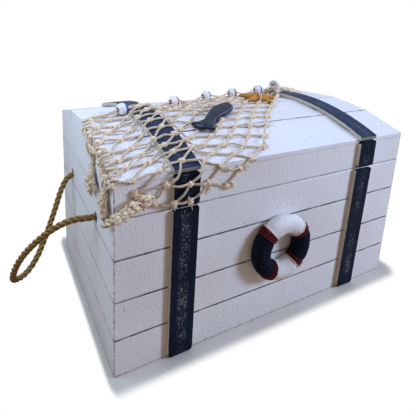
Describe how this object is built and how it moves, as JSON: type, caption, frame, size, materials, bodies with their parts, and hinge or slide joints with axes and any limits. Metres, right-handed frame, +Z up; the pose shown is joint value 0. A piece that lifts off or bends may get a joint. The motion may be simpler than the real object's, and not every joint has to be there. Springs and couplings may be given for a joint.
{
  "type": "treasure chest",
  "caption": "Small coastal decor chest with an arched hinged lid, painted straps, a life ring, swinging rope handles and a draped fishing net with beads, a fish, a starfish and a shell.",
  "frame": {"origin": "centre of the chest's underside, on the surface it stands on", "axes": "+X to the right seen from the front, +Y to the back, where the hinges are, +Z up"},
  "size_m": [0.5666, 0.2839, 0.2566],
  "materials": {
    "bare_wood": "unfinished",
    "cotton_cord": "twisted cotton",
    "dried_starfish": "rough and grainy",
    "felt": "soft felt",
    "hinge_brass": "satin",
    "jute_rope": "twisted jute",
    "maroon_thread": "wound thread",
    "navy_painted_wood": "distressed matte paint",
    "painted_bead": "satin paint",
    "shell": "ribbed and matte",
    "white_painted_wood": "matte paint"
  },
  "bodies": {
    "body": {"back_left_batten": "bare_wood", "back_plank_1": "white_painted_wood", "back_plank_2": "white_painted_wood", "back_plank_3": "white_painted_wood", "back_plank_4": "white_painted_wood", "back_right_batten": "bare_wood", "base_panel": "white_painted_wood", "body_hinge_screws": "hinge_brass", "front_left_batten": "bare_wood", "front_plank_1": "white_painted_wood", "front_plank_2": "white_painted_wood", "front_plank_3": "white_painted_wood", "front_plank_4": "white_painted_wood", "front_right_batten": "bare_wood", "hinge_pins": "hinge_brass", "left_body_band": "navy_painted_wood", "left_end_plank_1": "white_painted_wood", "left_end_plank_2": "white_painted_wood", "left_end_plank_3": "white_painted_wood", "left_end_plank_4": "white_painted_wood", "left_hinge_lower_leaf": "hinge_brass", "left_rope_ends": "jute_rope", "life_ring": "felt", "right_body_band": "navy_painted_wood", "right_end_plank_1": "white_painted_wood", "right_end_plank_2": "white_painted_wood", "right_end_plank_3": "white_painted_wood", "right_end_plank_4": "white_painted_wood", "right_hinge_lower_leaf": "hinge_brass", "right_rope_ends": "jute_rope", "ring_bindings": "maroon_thread"},
    "lid": {"bead_cord": "cotton_cord", "blue_striped_beads": "painted_bead", "fishing_net": "cotton_cord", "left_hinge_upper_leaf": "hinge_brass", "left_lid_front_band": "navy_painted_wood", "left_lid_top_band": "navy_painted_wood", "lid_back_board": "white_painted_wood", "lid_front_board": "white_painted_wood", "lid_hinge_screws": "hinge_brass", "lid_left_end": "white_painted_wood", "lid_right_end": "white_painted_wood", "lid_stave_1": "white_painted_wood", "lid_stave_2": "white_painted_wood", "lid_stave_3": "white_painted_wood", "lid_stave_4": "white_painted_wood", "maroon_striped_beads": "painted_bead", "net_end_tassels": "cotton_cord", "net_front_roll": "cotton_cord", "right_hinge_upper_leaf": "hinge_brass", "right_lid_front_band": "navy_painted_wood", "right_lid_top_band": "navy_painted_wood", "sea_shell": "shell", "starfish": "dried_starfish", "starfish_tie": "cotton_cord", "wooden_fish": "navy_painted_wood"},
    "left_handle": {"left_rope_handle": "jute_rope"},
    "right_handle": {"right_rope_handle": "jute_rope"}
  },
  "joints": [
    {"name": "lid_hinge", "type": "hinge", "parent": "body", "child": "lid", "pos_m": [0, 0.1285, 0.17525], "axis": [-1, 0, 0], "range_deg": [0, 100]},
    {"name": "left_handle_swing", "type": "hinge", "parent": "body", "child": "left_handle", "pos_m": [-0.205, 0, 0.145], "axis": [0, 1, 0], "range_deg": [0, 75]},
    {"name": "right_handle_swing", "type": "hinge", "parent": "body", "child": "right_handle", "pos_m": [0.205, 0, 0.145], "axis": [0, -1, 0], "range_deg": [0, 75]}
  ]
}
